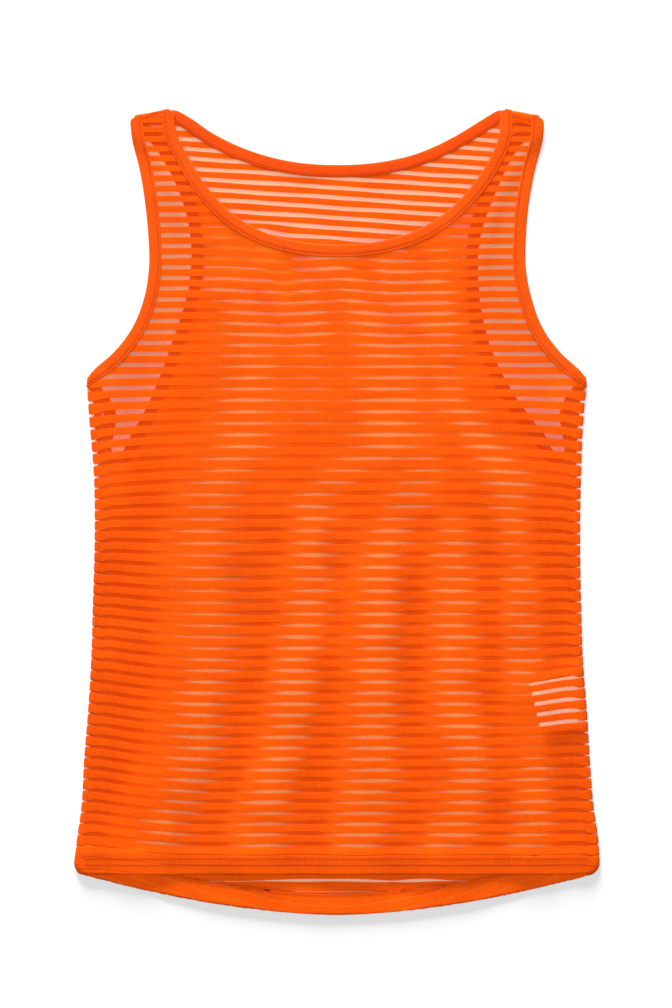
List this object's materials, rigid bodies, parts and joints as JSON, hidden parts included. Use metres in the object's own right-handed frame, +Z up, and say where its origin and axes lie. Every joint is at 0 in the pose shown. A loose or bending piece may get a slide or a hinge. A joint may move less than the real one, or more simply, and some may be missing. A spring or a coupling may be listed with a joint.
{
  "type": "striped tank top",
  "caption": "Sleeveless scoop-neck tank top in orange knit with sheer stripes, laid flat, with self-fabric bindings and a longer curved back hem.",
  "frame": {"origin": "centre of the garment's bounding box, on the surface it lies on", "axes": "+Y from hem to shoulders, +X to the viewer's right of the front, +Z up out of the front"},
  "size_m": [0.4449, 0.6838, 0.0053],
  "materials": {
    "sheer_stripe_jersey": "soft matte knit jersey, opaque stripes with sheer ones between",
    "self_binding": "matte knit binding with stitched edge",
    "label_satin": "pale satin tape, blank"
  },
  "bodies": {
    "root": {"front_panel": "sheer_stripe_jersey", "back_panel": "sheer_stripe_jersey", "neck_binding": "self_binding", "armhole_binding_left": "self_binding", "armhole_binding_right": "self_binding", "care_label": "label_satin"}
  },
  "joints": []
}
